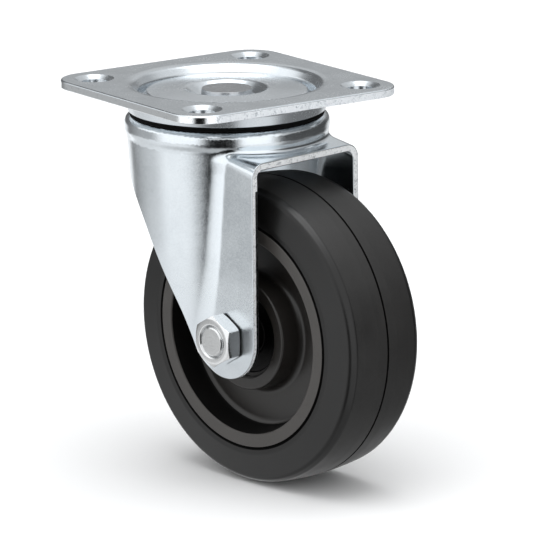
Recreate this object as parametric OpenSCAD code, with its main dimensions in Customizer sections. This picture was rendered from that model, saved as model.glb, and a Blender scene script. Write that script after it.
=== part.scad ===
// Swivel castor: pressed plate, double ball race head, pressed fork,
// solid tyre on a moulded centre that turns on two ball bearings.
// Millimetres. Origin: centre of the plate's top face, on the swivel axis.
// +Z up, plate edges along X and Y. The fork is drawn in its own frame,
// wheel behind along its +X, and then turned by fork_turn about Z.

/* [Plate] */
// Side of the square top plate
plate_side = 84; // [80:1:90]
// Sheet thickness of the plate
plate_t = 2.75; // [2.5:0.05:3]
// Corner radius of the plate
plate_corner_r = 11; // [8:0.5:11.5]
// Distance between hole centres, both ways
hole_pitch = 62; // [58:0.5:64]
// Fixing hole radius
hole_r = 4.25; // [3.25:0.05:4.5]
// Radius of the sunk rim round a fixing hole at the top face
hole_rim_r = 6.5; // [5.5:0.1:6.5]

/* [Fork] */
// How far the fork is swivelled from the plate's X edge at rest
fork_turn = 9; // [0:1:45]
// Sheet thickness of the fork
fork_t = 2.5; // [2.2:0.1:2.6]
// Outside radius of the fork's round head
head_r = 33.4; // [33.2:0.1:33.8]
// Half width over the outside of the legs
leg_y = 24; // [23.8:0.1:24.6]
// Distance of the front edge of the legs from the swivel axis
leg_front_x = 36.25; // [35.5:0.25:37]
// Level of the top of the roof between the legs
roof_z = -18.5; // [-19:0.1:-18.2]

/* [Wheel] */
// Trail: distance of the wheel axis behind the swivel axis
trail = 23; // [22:0.25:23.5]
// Level of the wheel axis below the plate's top face
axle_z = -77.5; // [-79:0.25:-77.25]
// Radius of the tyre at its middle
tyre_r = 50; // [48:0.25:50.5]
// Half width of the wheel over its sides
wheel_y = 17; // [16.5:0.1:17.5]
// Radius where the tyre meets the wheel centre
rim_r = 37.4; // [36:0.1:38]
// Half thickness of the wheel's web
web_y = 8.2; // [7:0.1:8.5]

/* [Fasteners] */
// Axle bolt radius
axle_r = 5; // [4.9:0.05:5]
// Width across flats of the axle nut and the bolt head
nut_af = 15; // [14:0.5:17]
// Height of the axle nut
nut_h = 6; // [5:0.5:8]

/* [Hidden] */
$fn = 96;

// fork sheet, inside faces
leg_yi = leg_y - fork_t;
leg_end_r = leg_front_x - trail;
head_top_z = -10;
floor_z = -11.15;          // ball track floor inside the head's raised rim

// swivel head
up_ball_r = 3.175;         // 6.35 mm balls
up_circle_r = 19.5;
up_ball_z = -8.2;
lo_ball_r = 2.38;          // 4.76 mm balls
lo_circle_r = 12.5;
lo_ball_z = -15.85;
pin_r = 6;

// wheel bearings, 26 x 10 x 8
brg_or = 13;
brg_w = 8;
brg_y = 9.5;               // middle of each bearing from the wheel's middle
brg_pitch_r = 9;
brg_ball_r = 2.38;
brg_n = 7;

// ---- helpers ---------------------------------------------------------
module in_fork() { rotate([0, 0, fork_turn]) children(); }
// local frame of the wheel axis: its Z runs along the fork's +Y
module on_axle() { in_fork() translate([trail, 0, axle_z]) rotate([-90, 0, 0]) children(); }
module on_near(y = brg_y) { on_axle() translate([0, 0, -y]) children(); }
module on_far(y = brg_y) { on_axle() translate([0, 0, y]) children(); }
module tube(ro, ri, h) { difference() { cylinder(r = ro, h = h, center = true); cylinder(r = ri, h = h + 1, center = true); } }
module torus(rc, r) { rotate_extrude() translate([rc, 0]) circle(r = r, $fn = 48); }
module ball_ring(n, rc, r) { for (i = [0 : n - 1]) rotate([0, 0, i * 360 / n]) translate([rc, 0, 0]) sphere(r = r, $fn = 32); }
function qpt(a, b, c, t) = (1 - t) * (1 - t) * a + 2 * t * (1 - t) * b + t * t * c;
// a run of points round a corner b, from a to c
function bend(a, b, c, n = 5) = [for (i = [0 : n]) qpt(a, b, c, i / n)];

// ---- plate -----------------------------------------------------------
module rounded_square(s, r) {
    union() {
        square([s, s - 2 * r], center = true);
        square([s - 2 * r, s], center = true);
        for (x = [-1, 1], y = [-1, 1]) translate([x * (s / 2 - r), y * (s / 2 - r)]) circle(r = r);
    }
}
// section of the pressed dish: top line from the rim in to the pin's seat, then back underneath
function dish_top() = concat(
    [[35.5, 0]], bend([31.6, 0], [29.9, 0], [29.5, -1.7], 4), bend([28.9, -4.1], [28.6, -5.25], [27.9, -5.25], 3),
    bend([27.6, -5.25], [27, -5.25], [26.9, -4.4], 3), bend([26.8, -3.6], [26.6, -2.55], [25.2, -2.45], 4),
    [[13, -1.8]], bend([12.6, -1.8], [11.6, -1.8], [10.4, -3.1], 4), bend([9.8, -3.8], [9.3, -4.1], [9.2, -4.6], 2), [[pin_r, -4.6]]);
function dish_under() = concat(
    [[pin_r, -4.6 - plate_t], [10.9, -4.6 - plate_t]], bend([11.3, -4.6 - plate_t], [11.9, -5.4], [13.4, -5.2], 3),
    [[23, -5.25]], bend([23.6, -5.25], [24.2, -5.3], [24.3, -6.2], 3), bend([24.35, -7.8], [24.6, -8.6], [25.8, -8.6], 3),
    bend([31.7, -8.6], [32.2, -8.6], [32.3, -8.1], 3), bend([32.8, -5.2], [33.3, -plate_t], [35, -plate_t], 4), [[35.5, -plate_t]]);
module top_plate() color([0.78, 0.79, 0.80]) {
    difference() {
        union() {
            difference() {
                translate([0, 0, -plate_t]) linear_extrude(height = plate_t) rounded_square(plate_side, plate_corner_r);
                translate([0, 0, -plate_t - 1]) cylinder(r = 35, h = plate_t + 2);
            }
            rotate_extrude() polygon(concat(dish_top(), dish_under()));
        }
        // running track for the upper balls
        translate([0, 0, up_ball_z]) torus(up_circle_r, up_ball_r + 0.08);
        for (x = [-1, 1], y = [-1, 1]) translate([x * hole_pitch / 2, y * hole_pitch / 2, 0]) {
            translate([0, 0, -plate_t - 1]) cylinder(r = hole_r, h = plate_t + 2);
            translate([0, 0, -1.3]) cylinder(r1 = hole_r, r2 = hole_rim_r, h = 1.3);
            translate([0, 0, -0.001]) cylinder(r = hole_rim_r, h = 1);
        }
    }
}

// ---- swivel head -----------------------------------------------------
// riveted pin: head in the plate's seat, closed over below the lower race
module kingpin() color([0.70, 0.69, 0.66]) {
    rotate_extrude() polygon(concat([[0, -2.3], [8.2, -2.3], [8.5, -2.6], [8.5, -4.6], [pin_r, -4.6], [pin_r, -21], [8.6, -21]],
        bend([8.6, -21.8], [8.4, -24], [5.4, -24.2], 4), [[0, -24.4]]));
}
module upper_race_balls() color([0.75, 0.76, 0.78])
    translate([0, 0, up_ball_z]) ball_ring(18, up_circle_r, up_ball_r);
module lower_race_balls() color([0.75, 0.76, 0.78])
    translate([0, 0, lo_ball_z]) ball_ring(15, lo_circle_r, lo_ball_r);
// pressed cup under the fork that the lower balls run in
module lower_race() color([0.72, 0.73, 0.74]) {
    difference() {
        rotate_extrude() polygon(concat([[pin_r, -18], [15.4, -18]], bend([15.6, -18], [16, -18], [16.1, -17.4], 2), [[16.4, -14.9], [18.6, -14.9]],
            bend([18.4, -18.6], [18.2, -21], [15.6, -21], 4), [[pin_r, -21]]));
        translate([0, 0, lo_ball_z]) torus(lo_circle_r, lo_ball_r + 0.08);
    }
}
module head_seal() color([0.06, 0.06, 0.06]) {
    rotate_extrude() polygon([[26, -8.6], [31.2, -8.6], [31.3, -9.3], [31.75, -9.9], [31.7, -9.97], [31.3, -9.9], [26, -9.9]]);
}

// ---- fork ------------------------------------------------------------
function shell_r(z) = 32.5 + (z + 17) * 3 / 49;
// side view of the fork: rear edge from the head down to the leg end
rear_edge = [[-42, -21.5], [-33, -23.4], [-27, -26], [-21.5, -29.2], [-16.5, -33], [-11.6, -37.6], [-7.4, -42.6],
             [-3.6, -48.6], [0, -55], [3.6, -61.6], [6.9, -67.9], [9, -72.4], [9.75, axle_z]];
module fork_side() {
    union() {
        polygon(concat(rear_edge, [[leg_front_x, axle_z], [leg_front_x, 0], [-42, 0]]));
        translate([trail, axle_z]) circle(r = leg_end_r);
    }
}
module u_block(yo, top, r, x1) {
    rotate([90, 0, 90]) linear_extrude(height = x1) union() {
        translate([-yo, -110]) square([2 * yo, 110 + top - r]);
        translate([-yo + r, -110]) square([2 * (yo - r), 110 + top]);
        for (s = [-1, 1]) translate([s * (yo - r), top - r]) circle(r = r);
    }
}
module fork() color([0.78, 0.80, 0.82]) in_fork() {
    difference() {
        intersection() {
            union() {
                // head, with its rounded shoulder
                rotate_extrude() polygon(concat([[0, -17.6], [33, -17.6]], bend([33.3, -17], [head_r, -16.6], [head_r, -16], 2),
                    bend([head_r, -12.2], [head_r, head_top_z], [31.2, head_top_z], 5), [[0, head_top_z]]));
                translate([0, 0, -95]) cylinder(r1 = shell_r(-95), r2 = shell_r(-17), h = 78);
                u_block(leg_y, roof_z, 6, leg_front_x + 5);
            }
            rotate([90, 0, 0]) linear_extrude(height = 90, center = true) fork_side();
        }
        // inside of the pressing
        translate([0, 0, -96]) cylinder(r1 = shell_r(-96) - fork_t, r2 = shell_r(-15) - fork_t, h = 81);
        translate([0, 0, -16]) cylinder(r = head_r - fork_t, h = 3.5);
        translate([0, 0, -20]) cylinder(r = 26.5, h = 20 + floor_z - fork_t);
        u_block(leg_yi, roof_z - fork_t, 6 - fork_t, 80);
        // sunk floor for the upper balls, pin hole and ball tracks
        translate([0, 0, floor_z]) cylinder(r = 26, h = 5);
        translate([0, 0, -30]) cylinder(r = 8.2, h = 30);
        translate([0, 0, up_ball_z]) torus(up_circle_r, up_ball_r + 0.08);
        translate([0, 0, lo_ball_z]) torus(lo_circle_r, lo_ball_r + 0.08);
        // axle holes
        translate([trail, 0, axle_z]) rotate([90, 0, 0]) cylinder(r = axle_r + 0.1, h = 90, center = true);
    }
}

// ---- axle ------------------------------------------------------------
module hex(af, h) { rotate([0, 0, 30]) cylinder(r = af / sqrt(3), h = h, $fn = 6); }
// hexagon with both corners turned down
module turned_hex(af, h) {
    intersection() {
        hex(af, h);
        rotate_extrude() polygon([[0, 0], [af * 0.49, 0], [af * 0.62, h * 0.16], [af * 0.62, h * 0.84], [af * 0.49, h], [0, h]]);
    }
}
module axle_bolt() color([0.76, 0.77, 0.78]) on_axle() {
    union() {
        translate([0, 0, leg_y]) turned_hex(nut_af, 6.4);
        translate([0, 0, -leg_y - nut_h - 0.1]) cylinder(r = axle_r, h = 2 * leg_y + nut_h + 0.2);
        translate([0, 0, -leg_y - nut_h - 0.6]) cylinder(r1 = axle_r - 0.5, r2 = axle_r, h = 0.5);
    }
}
module axle_nut() color([0.78, 0.79, 0.80]) on_axle() {
    difference() {
        translate([0, 0, -leg_y - nut_h]) turned_hex(nut_af, nut_h);
        translate([0, 0, -leg_y - nut_h - 1]) cylinder(r = axle_r + 0.05, h = nut_h + 2);
        translate([0, 0, -leg_y - nut_h - 0.01]) cylinder(r1 = axle_r + 0.6, r2 = axle_r + 0.05, h = 0.6);
    }
}
// flanged sleeve between a leg and the bearing's inner ring
module end_spacer() color([0.30, 0.30, 0.31]) {
    y0 = brg_y + brg_w / 2;
    difference() {
        rotate_extrude() polygon([[axle_r + 0.05, y0], [7, y0], [7, leg_yi - 3.2], [7.6, leg_yi - 2.4], [11, leg_yi - 2.2], [11.3, leg_yi - 1.9], [11.3, leg_yi], [axle_r + 0.05, leg_yi]]);
    }
}
module near_end_spacer() on_axle() mirror([0, 0, 1]) end_spacer();
module far_end_spacer() on_axle() end_spacer();
module centre_spacer() color([0.66, 0.67, 0.68]) on_axle() tube(6.8, axle_r + 0.05, 2 * brg_y - brg_w);

// ---- bearings --------------------------------------------------------
module ring_chamfer(ro, ri, w, c) {
    rotate_extrude() polygon([[ri + c, -w / 2], [ro - c, -w / 2], [ro, -w / 2 + c], [ro, w / 2 - c], [ro - c, w / 2], [ri + c, w / 2], [ri, w / 2 - c], [ri, -w / 2 + c]]);
}
module inner_ring() color([0.72, 0.73, 0.75]) difference() {
    ring_chamfer(7.3, axle_r + 0.05, brg_w, 0.3);
    torus(brg_pitch_r, brg_ball_r + 0.05);
}
module outer_ring() color([0.72, 0.73, 0.75]) difference() {
    ring_chamfer(brg_or, 10.7, brg_w, 0.3);
    torus(brg_pitch_r, brg_ball_r + 0.05);
    for (s = [-1, 1]) translate([0, 0, s * 4]) cylinder(r = 11, h = 1, center = true);
}
module cage() color([0.62, 0.62, 0.60]) difference() {
    tube(9.7, 8.3, 6);
    ball_ring(brg_n, brg_pitch_r, brg_ball_r + 0.08);
}
module shields() color([0.55, 0.56, 0.58]) for (s = [-1, 1]) translate([0, 0, s * 3.7]) tube(11, 7.6, 0.36);
module near_inner_ring() on_near() inner_ring();
module far_inner_ring() on_far() inner_ring();
module near_outer_ring() on_near() outer_ring();
module far_outer_ring() on_far() outer_ring();
module near_bearing_balls() color([0.75, 0.76, 0.78]) on_near() ball_ring(brg_n, brg_pitch_r, brg_ball_r);
module far_bearing_balls() color([0.75, 0.76, 0.78]) on_far() ball_ring(brg_n, brg_pitch_r, brg_ball_r);
module near_cage() on_near() cage();
module far_cage() on_far() cage();
module near_shields() on_near() shields();
module far_shields() on_far() shields();

// ---- wheel -----------------------------------------------------------
// half sections of the moulded centre, radius against distance from the middle plane:
// rim ring with the web's outer fillet, flat web, and hub with the web's inner fillet
seat_y = brg_y + brg_w / 2;
web_ro = 29.2;
web_ri = 21;
function rim_half() = concat(
    [[rim_r, 0]], [[rim_r, wheel_y - 0.5], [rim_r - 0.5, wheel_y]],
    bend([33.2, wheel_y], [32.4, wheel_y], [32.3, wheel_y - 0.9], 3),
    bend([31.6, web_y + 2.4], [31.5, web_y], [web_ro, web_y], 4), [[web_ro, 0]]);
function hub_half() = concat(
    [[web_ri, 0]], bend([web_ri, web_y], [18.9, web_y], [18.7, web_y + 2.2], 4),
    bend([18.2, wheel_y - 1.8], [18.1, wheel_y - 1], [17.3, wheel_y - 1], 3),
    [[14.4, wheel_y - 1], [14, wheel_y - 1.4], [14, seat_y + 1], [brg_or, seat_y + 0.4], [brg_or, brg_y - brg_w / 2], [11.2, brg_y - brg_w / 2], [11.2, 0]]);
module both_sides(half) {
    n = len(half);
    rotate_extrude() polygon(concat(half, [for (i = [n - 1 : -1 : 0]) [half[i][0], -half[i][1]]]));
}
module wheel_rim() color([0.24, 0.23, 0.22]) on_axle() both_sides(rim_half());
module wheel_web() color([0.23, 0.22, 0.21]) on_axle() tube(web_ro, web_ri, 2 * web_y);
module wheel_hub() color([0.24, 0.23, 0.22]) on_axle() both_sides(hub_half());
// half section of the tyre: crowned tread with a fine parting groove, rounded shoulder, coned side
function tyre_half() = concat(
    [[rim_r, 0], [rim_r, wheel_y - 1], [rim_r + 0.5, wheel_y - 0.15]], [[39.5, wheel_y - 0.1]],
    bend([45.5, 16.05], [48.3, 15.4], [48.75, 13.9], 4),
    [for (i = [0 : 4]) let (y = 13 - i * 3) [tyre_r - 1.05 * pow(y / 13.2, 2), y]],
    [[tyre_r, 0.35], [tyre_r - 0.5, 0]]);
module tyre() color([0.17, 0.17, 0.16]) on_axle() {
    half = tyre_half();
    n = len(half);
    rotate_extrude() polygon(concat(half, [for (i = [n - 2 : -1 : 1]) [half[i][0], -half[i][1]]]));
}

top_plate();
kingpin();
upper_race_balls();
lower_race_balls();
lower_race();
head_seal();
fork();
axle_bolt();
axle_nut();
near_end_spacer();
far_end_spacer();
centre_spacer();
near_inner_ring();
far_inner_ring();
near_outer_ring();
far_outer_ring();
near_bearing_balls();
far_bearing_balls();
near_cage();
far_cage();
near_shields();
far_shields();
wheel_rim();
wheel_web();
wheel_hub();
tyre();
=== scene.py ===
import bpy
import math
import numpy as np
from mathutils import Matrix, Vector
from mathutils.geometry import delaunay_2d_cdt


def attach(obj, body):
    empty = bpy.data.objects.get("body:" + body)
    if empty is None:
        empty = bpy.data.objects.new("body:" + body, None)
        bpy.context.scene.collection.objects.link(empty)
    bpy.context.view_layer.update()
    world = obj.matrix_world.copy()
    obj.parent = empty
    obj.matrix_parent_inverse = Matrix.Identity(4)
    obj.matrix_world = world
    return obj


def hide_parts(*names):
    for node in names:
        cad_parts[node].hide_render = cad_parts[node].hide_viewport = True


# ---------------------------------------------------------------------------
# Swivel castor: looks. Lengths in the helpers are millimetres, objects are
# built in metres. Fork and wheel are drawn in the fork's own frame (wheel
# behind along +X') and turned by FORK_TURN about Z.
# ---------------------------------------------------------------------------
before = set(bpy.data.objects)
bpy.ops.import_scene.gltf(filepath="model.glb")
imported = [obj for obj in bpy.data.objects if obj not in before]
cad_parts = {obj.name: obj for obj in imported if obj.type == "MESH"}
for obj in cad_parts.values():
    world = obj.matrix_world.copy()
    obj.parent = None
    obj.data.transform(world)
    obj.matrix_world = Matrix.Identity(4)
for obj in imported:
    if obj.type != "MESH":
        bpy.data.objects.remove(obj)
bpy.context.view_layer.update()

FORK_TURN = math.radians(9.0)
PLATE_T, PLATE_HALF, CORNER_R = 2.75, 42.0, 11.0
HOLE_AT, HOLE_R, RIM_HOLE_R = 31.0, 4.25, 6.5
FORK_T, LEG_Y, LEG_X, ROOF_Z = 2.5, 24.0, 36.25, -18.5
TRAIL, AXLE_Z = 23.0, -77.5
FLOOR_Z = -127.5


def turn(P, N=None):
    """Fork frame to row frame."""
    c, s = math.cos(FORK_TURN), math.sin(FORK_TURN)
    R = np.array([[c, -s, 0], [s, c, 0], [0, 0, 1.0]])
    if N is None:
        return P @ R.T
    return P @ R.T, N @ R.T


# ---- mesh making ----------------------------------------------------------
def make(name, verts, faces, normals, mat, body, replaces=(), index=None):
    """verts (n,3) mm; faces an array or list of index tuples; normals (n,3) at the
    vertices, or a list with one (k,3) array for each face. mat is one material or a
    tuple of them, with index giving each face its own."""
    verts = np.asarray(verts, float)
    per_vertex = isinstance(normals, np.ndarray) and normals.shape == verts.shape
    out_faces, out_normals, out_index = [], [], []
    for i, f in enumerate(faces):
        f = list(f)
        n = normals[f] if per_vertex else np.asarray(normals[i])
        keep = [k for k in range(len(f)) if f[k] != f[k - 1]]
        if len(keep) < 3:
            continue
        f, n = [f[k] for k in keep], n[keep]
        p = verts[f]
        g = np.zeros(3)
        for k in range(1, len(f) - 1):
            g += np.cross(p[k] - p[0], p[k + 1] - p[0])
        if g @ n.mean(0) < 0:
            f, n = f[::-1], n[::-1]
        out_faces.append(f)
        out_normals.append(n)
        out_index.append(0 if index is None else int(index[i]))
    mesh = bpy.data.meshes.new(name)
    mesh.from_pydata((verts * 0.001).tolist(), [], out_faces)
    mesh.polygons.foreach_set("use_smooth", [True] * len(mesh.polygons))
    flat = np.concatenate(out_normals)
    flat = flat / np.maximum(np.linalg.norm(flat, axis=1, keepdims=True), 1e-9)
    mesh.normals_split_custom_set(flat.tolist())
    for q in mat if isinstance(mat, tuple) else (mat,):
        mesh.materials.append(q)
    mesh.polygons.foreach_set("material_index", out_index)
    mesh.update()
    obj = bpy.data.objects.new(name, mesh)
    bpy.context.scene.collection.objects.link(obj)
    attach(obj, body)
    if replaces:
        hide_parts(*replaces)
    return obj


def path(corners, closed=False, step=12.0):
    """Corners (r, y, radius) joined by straight lines and true arcs. Returns the
    segments [(pa, na, pb, nb)], normals to the left of travel."""
    C = [np.array(c[:2], float) for c in corners]
    R = [c[2] if len(c) > 2 else 0.0 for c in corners]
    n = len(C)
    segs, ends = [], []
    for i in range(n):
        if not closed and i in (0, n - 1):
            ends.append((C[i], C[i], None))
            continue
        a, b, c = C[i - 1], C[i], C[(i + 1) % n]
        u, w = b - a, c - b
        lu, lw = np.linalg.norm(u), np.linalg.norm(w)
        u, w = u / lu, w / lw
        ang = math.acos(max(-1, min(1, float(u @ w))))
        r = R[i]
        if r <= 0 or ang < 1e-3:
            ends.append((b, b, None))
            continue
        cut = r * math.tan(ang / 2)
        lim = 0.49 * min(lu, lw)
        if cut > lim:
            cut = lim
            r = cut / math.tan(ang / 2)
        ends.append((b - u * cut, b + w * cut, (u, w, r, ang)))
    count = n if closed else n - 1
    for i in range(n):
        e = ends[i]
        if e[2] is not None:
            u, w, r, ang = e[2]
            side = 1.0 if u[0] * w[1] - u[1] * w[0] > 0 else -1.0
            left = np.array([-u[1], u[0]]) * side
            centre = e[0] + left * r
            k = max(2, int(math.ceil(math.degrees(ang) / step)))
            pts = []
            for j in range(k + 1):
                t = side * ang * j / k
                ct, st = math.cos(t), math.sin(t)
                v = -left
                q = np.array([v[0] * ct - v[1] * st, v[0] * st + v[1] * ct])
                pts.append((centre + q * r, -q * side))
            for j in range(k):
                segs.append((pts[j][0], pts[j][1], pts[j + 1][0], pts[j + 1][1]))
        if i < count:
            p, q = e[1], ends[(i + 1) % n][0]
            d = q - p
            length = np.linalg.norm(d)
            if length > 1e-6:
                nn = np.array([-d[1], d[0]]) / length
                segs.append((p, nn, q, nn))
    return segs


def lathe(segs, seg_n, to3d, flip=1.0, arc_len=None):
    """Turn the segments round. to3d(r, y, angle) and for a normal (nr, ny, angle).
    arc_len splits long straight runs, to keep the faces compact."""
    if arc_len:
        out = []
        for pa, na, pb, nb in segs:
            k = max(1, int(np.linalg.norm(pb - pa) / arc_len))
            for j in range(k):
                t0, t1 = j / k, (j + 1) / k
                out.append((pa + (pb - pa) * t0, na + (nb - na) * t0, pa + (pb - pa) * t1, na + (nb - na) * t1))
        segs = out
    keys, pts = {}, []

    def ring(p):
        key = (round(float(p[0]), 5), round(float(p[1]), 5))
        if key not in keys:
            keys[key] = len(pts)
            pts.append(p)
        return keys[key]

    rings = [(ring(a), na, ring(b), nb) for a, na, b, nb in segs]
    start, verts, total = [], [], 0
    for p in pts:
        start.append(total)
        if p[0] < 1e-6:
            verts.append(to3d(0.0, p[1], 0.0))
            total += 1
        else:
            for j in range(seg_n):
                verts.append(to3d(p[0], p[1], 2 * math.pi * j / seg_n))
            total += seg_n
    faces, normals = [], []
    for ia, na, ib, nb in rings:
        for j in range(seg_n):
            k = (j + 1) % seg_n
            a0, a1 = 2 * math.pi * j / seg_n, 2 * math.pi * k / seg_n
            oa, ob = pts[ia][0] < 1e-6, pts[ib][0] < 1e-6
            fa = [start[ia]] if oa else [start[ia] + j, start[ia] + k]
            fb = [start[ib]] if ob else [start[ib] + k, start[ib] + j]
            na3 = [to3d(na[0] * flip, na[1] * flip, a0, True)] if oa else [to3d(na[0] * flip, na[1] * flip, a0, True), to3d(na[0] * flip, na[1] * flip, a1, True)]
            nb3 = [to3d(nb[0] * flip, nb[1] * flip, a0, True)] if ob else [to3d(nb[0] * flip, nb[1] * flip, a1, True), to3d(nb[0] * flip, nb[1] * flip, a0, True)]
            faces.append(fa + fb)
            normals.append(np.array(na3 + nb3))
    return np.array(verts), faces, normals


def on_axle(r, y, t, is_normal=False):
    """Axle frame to row frame: r and angle round the axle, y along the fork's +Y'."""
    x, z = r * math.cos(t), r * math.sin(t)
    if not is_normal:
        x, z = x + TRAIL, z + AXLE_Z
    c, s = math.cos(FORK_TURN), math.sin(FORK_TURN)
    return (x * c - y * s, x * s + y * c, z)


def on_swivel(r, z, t, is_normal=False):
    return (r * math.cos(t), r * math.sin(t), z)


def turned(name, corners, mat, body, to3d=on_swivel, closed=True, seg_n=128, replaces=(), step=12.0, arc_len=None):
    """A turned piece: a closed section, run anticlockwise in (r, axis)."""
    segs = path(corners, closed=closed, step=step)
    area = sum(a[0] * b[1] - b[0] * a[1] for a, _, b, _ in segs)
    if closed:
        flip = -1.0 if area > 0 else 1.0
    else:
        flip = 1.0
    v, f, n = lathe(segs, seg_n, to3d, flip=flip, arc_len=arc_len)
    return make(name, v, f, n, mat, body, replaces)


# ---- materials ------------------------------------------------------------
def new_mat(name):
    m = bpy.data.materials.new(name)
    m.use_nodes = True
    nt = m.node_tree
    for n in list(nt.nodes):
        nt.nodes.remove(n)
    out = nt.nodes.new("ShaderNodeOutputMaterial")
    b = nt.nodes.new("ShaderNodeBsdfPrincipled")
    nt.links.new(b.outputs["BSDF"], out.inputs["Surface"])
    return m, nt, b


def node(nt, kind, **inputs):
    n = nt.nodes.new(kind)
    for k, v in inputs.items():
        key = k.replace("_", " ")
        if key in n.inputs:
            n.inputs[key].default_value = v
        else:
            setattr(n, k, v)
    return n


def noise(nt, vec, scale, detail=2.0, rough=0.5, stretch=None):
    src = vec
    if stretch:
        mp = node(nt, "ShaderNodeMapping")
        mp.inputs["Scale"].default_value = stretch
        nt.links.new(vec, mp.inputs["Vector"])
        src = mp.outputs["Vector"]
    n = nt.nodes.new("ShaderNodeTexNoise")
    n.inputs["Scale"].default_value = scale
    n.inputs["Detail"].default_value = detail
    n.inputs["Roughness"].default_value = rough
    nt.links.new(src, n.inputs["Vector"])
    return n.outputs["Fac"]


def ramp(nt, fac, lo, hi, a, b):
    m = nt.nodes.new("ShaderNodeMapRange")
    m.inputs["From Min"].default_value = lo
    m.inputs["From Max"].default_value = hi
    m.inputs["To Min"].default_value = a
    m.inputs["To Max"].default_value = b
    nt.links.new(fac, m.inputs["Value"])
    return m.outputs["Result"]


def mixcol(nt, fac, a, b):
    m = nt.nodes.new("ShaderNodeMix")
    m.data_type = "RGBA"
    nt.links.new(fac, m.inputs["Factor"])
    m.inputs[6].default_value = (*a, 1)
    m.inputs[7].default_value = (*b, 1)
    return m.outputs[2]


def bump(nt, b, layers):
    """layers: (height socket, distance in metres), one after another."""
    last = None
    for h, dist in layers:
        n = nt.nodes.new("ShaderNodeBump")
        n.inputs["Strength"].default_value = 1.0
        n.inputs["Distance"].default_value = dist
        nt.links.new(h, n.inputs["Height"])
        if last is not None:
            nt.links.new(last, n.inputs["Normal"])
        last = n.outputs["Normal"]
    nt.links.new(last, b.inputs["Normal"])


def zinc(name, light, dark, r_lo, r_hi, grain=1.0, patch=1.0, fleck=1.0, low_soft=0.0):
    """Bright zinc plate: fine crystalline grain, slow cloudy patches, soft sheen.
    low_soft makes the lower end of a tall piece that much duller."""
    m, nt, b = new_mat(name)
    vec = nt.nodes.new("ShaderNodeTexCoord").outputs["Object"]
    cloud = noise(nt, vec, 90.0, 3.0, 0.6)
    fine = noise(nt, vec, 1700.0, 3.0, 0.65)
    mid = noise(nt, vec, 420.0, 2.0, 0.55)
    add = node(nt, "ShaderNodeMath", operation="ADD")
    nt.links.new(ramp(nt, cloud, 0.3, 0.7, 0.0, 0.5 * patch), add.inputs[0])
    nt.links.new(ramp(nt, fine, 0.35, 0.65, 0.0, 0.5), add.inputs[1])
    nt.links.new(mixcol(nt, add.outputs[0], dark, light), b.inputs["Base Color"])
    b.inputs["Metallic"].default_value = 1.0
    radd = node(nt, "ShaderNodeMath", operation="ADD")
    nt.links.new(ramp(nt, fine, 0.3, 0.7, r_lo, r_hi), radd.inputs[0])
    nt.links.new(ramp(nt, cloud, 0.3, 0.7, -0.02, 0.04), radd.inputs[1])
    rough = radd.outputs[0]
    if low_soft:
        xyz = nt.nodes.new("ShaderNodeSeparateXYZ")
        nt.links.new(vec, xyz.inputs[0])
        low = node(nt, "ShaderNodeMath", operation="ADD")
        nt.links.new(rough, low.inputs[0])
        nt.links.new(ramp(nt, xyz.outputs["Z"], -0.074, -0.054, low_soft, 0.0), low.inputs[1])
        rough = low.outputs[0]
    nt.links.new(rough, b.inputs["Roughness"])
    bump(nt, b, [(mid, 1.1e-5 * grain), (fine, 3.2e-6 * fleck)])
    return m


def sheared(name, light, dark, r_lo, r_hi, specks, grain=1.0, metal=1.0):
    """Cut edge of plated sheet: a smooth burnish broken by small ragged specks."""
    m, nt, b = new_mat(name)
    vec = nt.nodes.new("ShaderNodeTexCoord").outputs["Object"]
    fine = noise(nt, vec, 1900.0, 2.0, 0.7)
    coarse = noise(nt, vec, 520.0, 2.0, 0.6)
    both = node(nt, "ShaderNodeMath", operation="ADD")
    nt.links.new(ramp(nt, fine, 0.0, 1.0, 0.0, 0.6), both.inputs[0])
    nt.links.new(ramp(nt, coarse, 0.0, 1.0, 0.0, 0.4), both.inputs[1])
    nt.links.new(mixcol(nt, ramp(nt, both.outputs[0], 0.36 + specks, 0.50 + specks, 0.0, 1.0), dark, light), b.inputs["Base Color"])
    b.inputs["Metallic"].default_value = metal
    nt.links.new(ramp(nt, both.outputs[0], 0.38, 0.62, r_hi, r_lo), b.inputs["Roughness"])
    bump(nt, b, [(coarse, 1.2e-5 * grain), (fine, 6.0e-6 * grain)])
    return m


def plastic(name, colour, dark, r_lo, r_hi, spec=0.5, grain=1.0, scuff=0.0):
    m, nt, b = new_mat(name)
    vec = nt.nodes.new("ShaderNodeTexCoord").outputs["Object"]
    cloud = noise(nt, vec, 60.0, 3.0, 0.6)
    fine = noise(nt, vec, 1800.0, 2.0, 0.6)
    add = node(nt, "ShaderNodeMath", operation="ADD")
    nt.links.new(ramp(nt, cloud, 0.3, 0.7, 0.0, 0.6), add.inputs[0])
    nt.links.new(ramp(nt, fine, 0.3, 0.7, 0.0, 0.4), add.inputs[1])
    nt.links.new(mixcol(nt, add.outputs[0], dark, colour), b.inputs["Base Color"])
    nt.links.new(ramp(nt, cloud, 0.3, 0.7, r_lo, r_hi), b.inputs["Roughness"])
    b.inputs["Specular IOR Level"].default_value = spec
    bump(nt, b, [(cloud, 1.5e-5 * scuff), (fine, 2.0e-6 * grain)] if scuff else [(fine, 2.0e-6 * grain)])
    return m


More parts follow.
